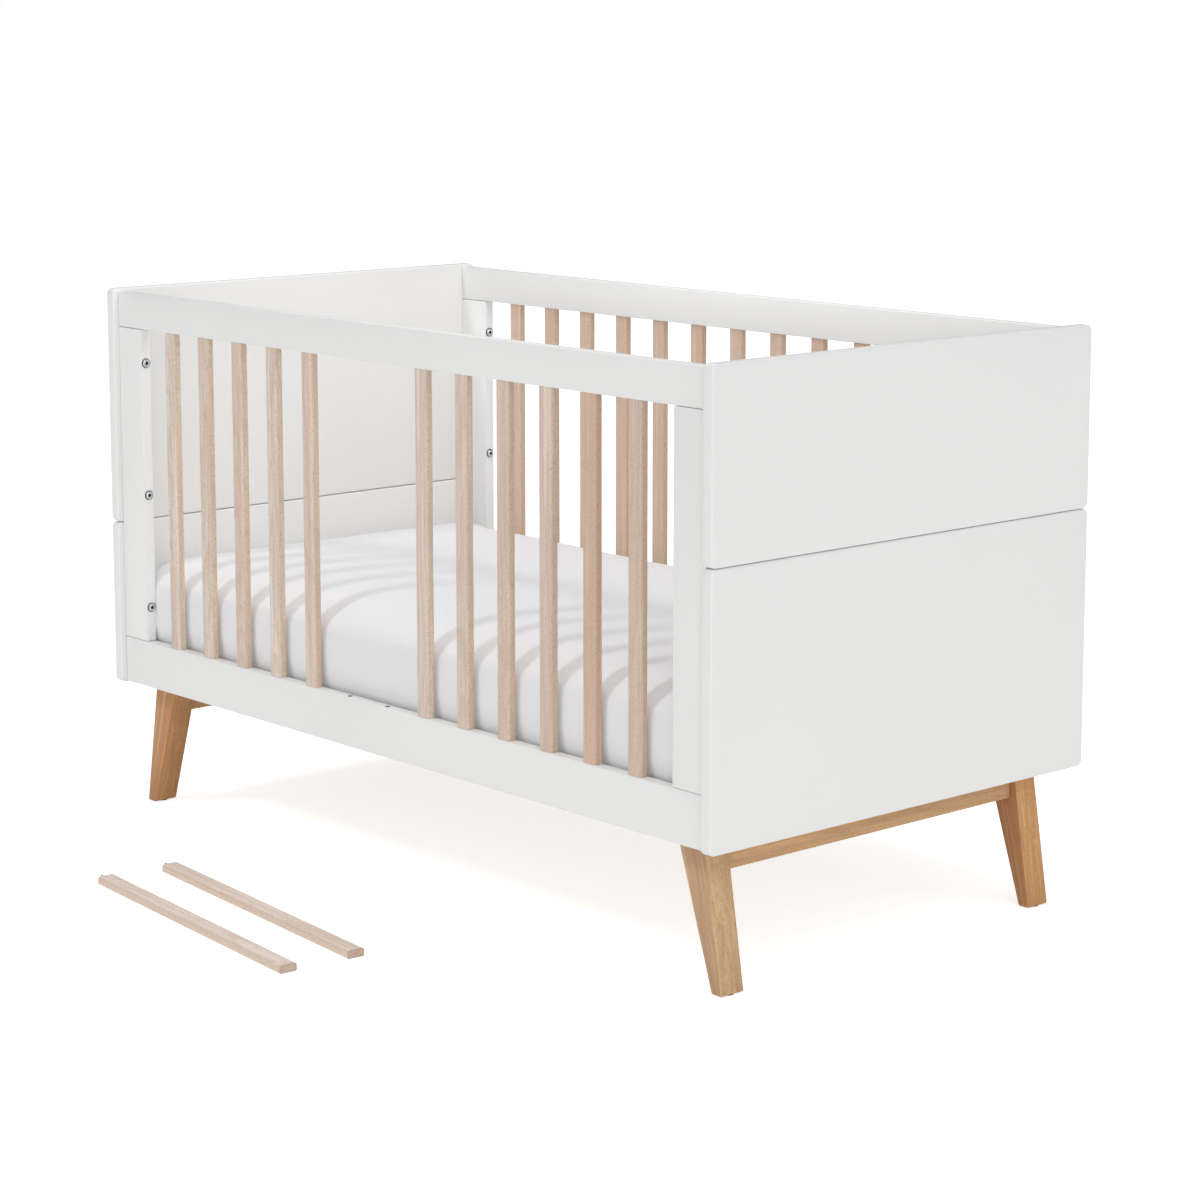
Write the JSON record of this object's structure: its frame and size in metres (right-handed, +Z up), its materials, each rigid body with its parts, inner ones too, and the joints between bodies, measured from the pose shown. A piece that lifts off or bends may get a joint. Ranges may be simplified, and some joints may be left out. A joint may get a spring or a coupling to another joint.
{
  "type": "baby crib",
  "caption": "Slatted baby crib with white rails and panels, beech slats and splayed legs, some slats taken out of one side, a height-adjustable base and a mattress with a fitted sheet.",
  "frame": {"origin": "centre of the four feet, on the floor", "axes": "+X along the crib from the foot end to the head end, +Y from the open front to the rear, +Z up"},
  "size_m": [1.445, 1.1013, 0.867],
  "materials": {
    "white_paint": "satin white paint",
    "pale_beech": "pale, lightly whitened beech",
    "oiled_beech": "oiled beech",
    "plain_birch": "unfinished birch",
    "steel": "zinc-plated steel",
    "brown_plastic": "nylon",
    "foam": "foam core in a cotton cover",
    "cotton": "white cotton jersey"
  },
  "bodies": {
    "crib_frame": {"head_panel_upper": "white_paint", "head_panel_lower": "white_paint", "foot_panel_upper": "white_paint", "foot_panel_lower": "white_paint", "front_top_rail": "white_paint", "front_bottom_rail": "white_paint", "rear_top_rail": "white_paint", "rear_bottom_rail": "white_paint", "front_stile_head": "white_paint", "front_stile_foot": "white_paint", "rear_stile_head": "white_paint", "rear_stile_foot": "white_paint", "front_slat_1": "pale_beech", "front_slat_2": "pale_beech", "front_slat_3": "pale_beech", "front_slat_4": "pale_beech", "front_slat_5": "pale_beech", "front_slat_8": "pale_beech", "front_slat_9": "pale_beech", "front_slat_10": "pale_beech", "front_slat_11": "pale_beech", "front_slat_12": "pale_beech", "front_slat_13": "pale_beech", "rear_slat_1": "pale_beech", "rear_slat_2": "pale_beech", "rear_slat_3": "pale_beech", "rear_slat_4": "pale_beech", "rear_slat_5": "pale_beech", "rear_slat_6": "pale_beech", "rear_slat_7": "pale_beech", "rear_slat_8": "pale_beech", "rear_slat_9": "pale_beech", "rear_slat_10": "pale_beech", "rear_slat_11": "pale_beech", "rear_slat_12": "pale_beech", "rear_slat_13": "pale_beech", "side_bolts": "steel", "side_inserts": "steel", "dowels": "plain_birch", "leg_head_front": "oiled_beech", "leg_head_rear": "oiled_beech", "leg_foot_front": "oiled_beech", "leg_foot_rear": "oiled_beech", "leg_crossbar_head": "oiled_beech", "leg_crossbar_foot": "oiled_beech", "leg_boards": "plain_birch", "leg_bolts": "steel", "foot_glides": "brown_plastic", "base_brackets": "steel", "wood_screws": "steel"},
    "mattress_base": {"base_frame": "plain_birch", "base_slats": "plain_birch"},
    "mattress": {"mattress": "foam", "fitted_sheet": "cotton"},
    "loose_slat_a": {"loose_slat_a": "pale_beech", "pin_housing_a": "steel"},
    "loose_slat_b": {"loose_slat_b": "pale_beech", "pin_housing_b": "steel"},
    "spring_pin_a": {"spring_pin_a": "steel"},
    "spring_pin_b": {"spring_pin_b": "steel"}
  },
  "joints": [
    {"name": "base_height", "type": "slide", "parent": "crib_frame", "child": "mattress_base", "axis": [0, 0, 1], "range_m": [0, 0.22]},
    {"name": "mattress_lift", "type": "slide", "parent": "mattress_base", "child": "mattress", "axis": [0, 0, 1], "range_m": [0, 0.62]},
    {"name": "slat_a_lift", "type": "slide", "parent": "crib_frame", "child": "loose_slat_a", "axis": [0, 0, 1], "range_m": [0, 0.3]},
    {"name": "slat_b_lift", "type": "slide", "parent": "crib_frame", "child": "loose_slat_b", "axis": [0, 0, 1], "range_m": [0, 0.3]},
    {"name": "pin_a_press", "type": "slide", "parent": "loose_slat_a", "child": "spring_pin_a", "axis": [0.9959, -0.0906, 0], "range_m": [0, 0.0155], "stiffness_N_per_m": 300, "springref_m": -0.004},
    {"name": "pin_b_press", "type": "slide", "parent": "loose_slat_b", "child": "spring_pin_b", "axis": [0.9959, -0.0906, 0], "range_m": [0, 0.0155], "stiffness_N_per_m": 300, "springref_m": -0.004}
  ]
}
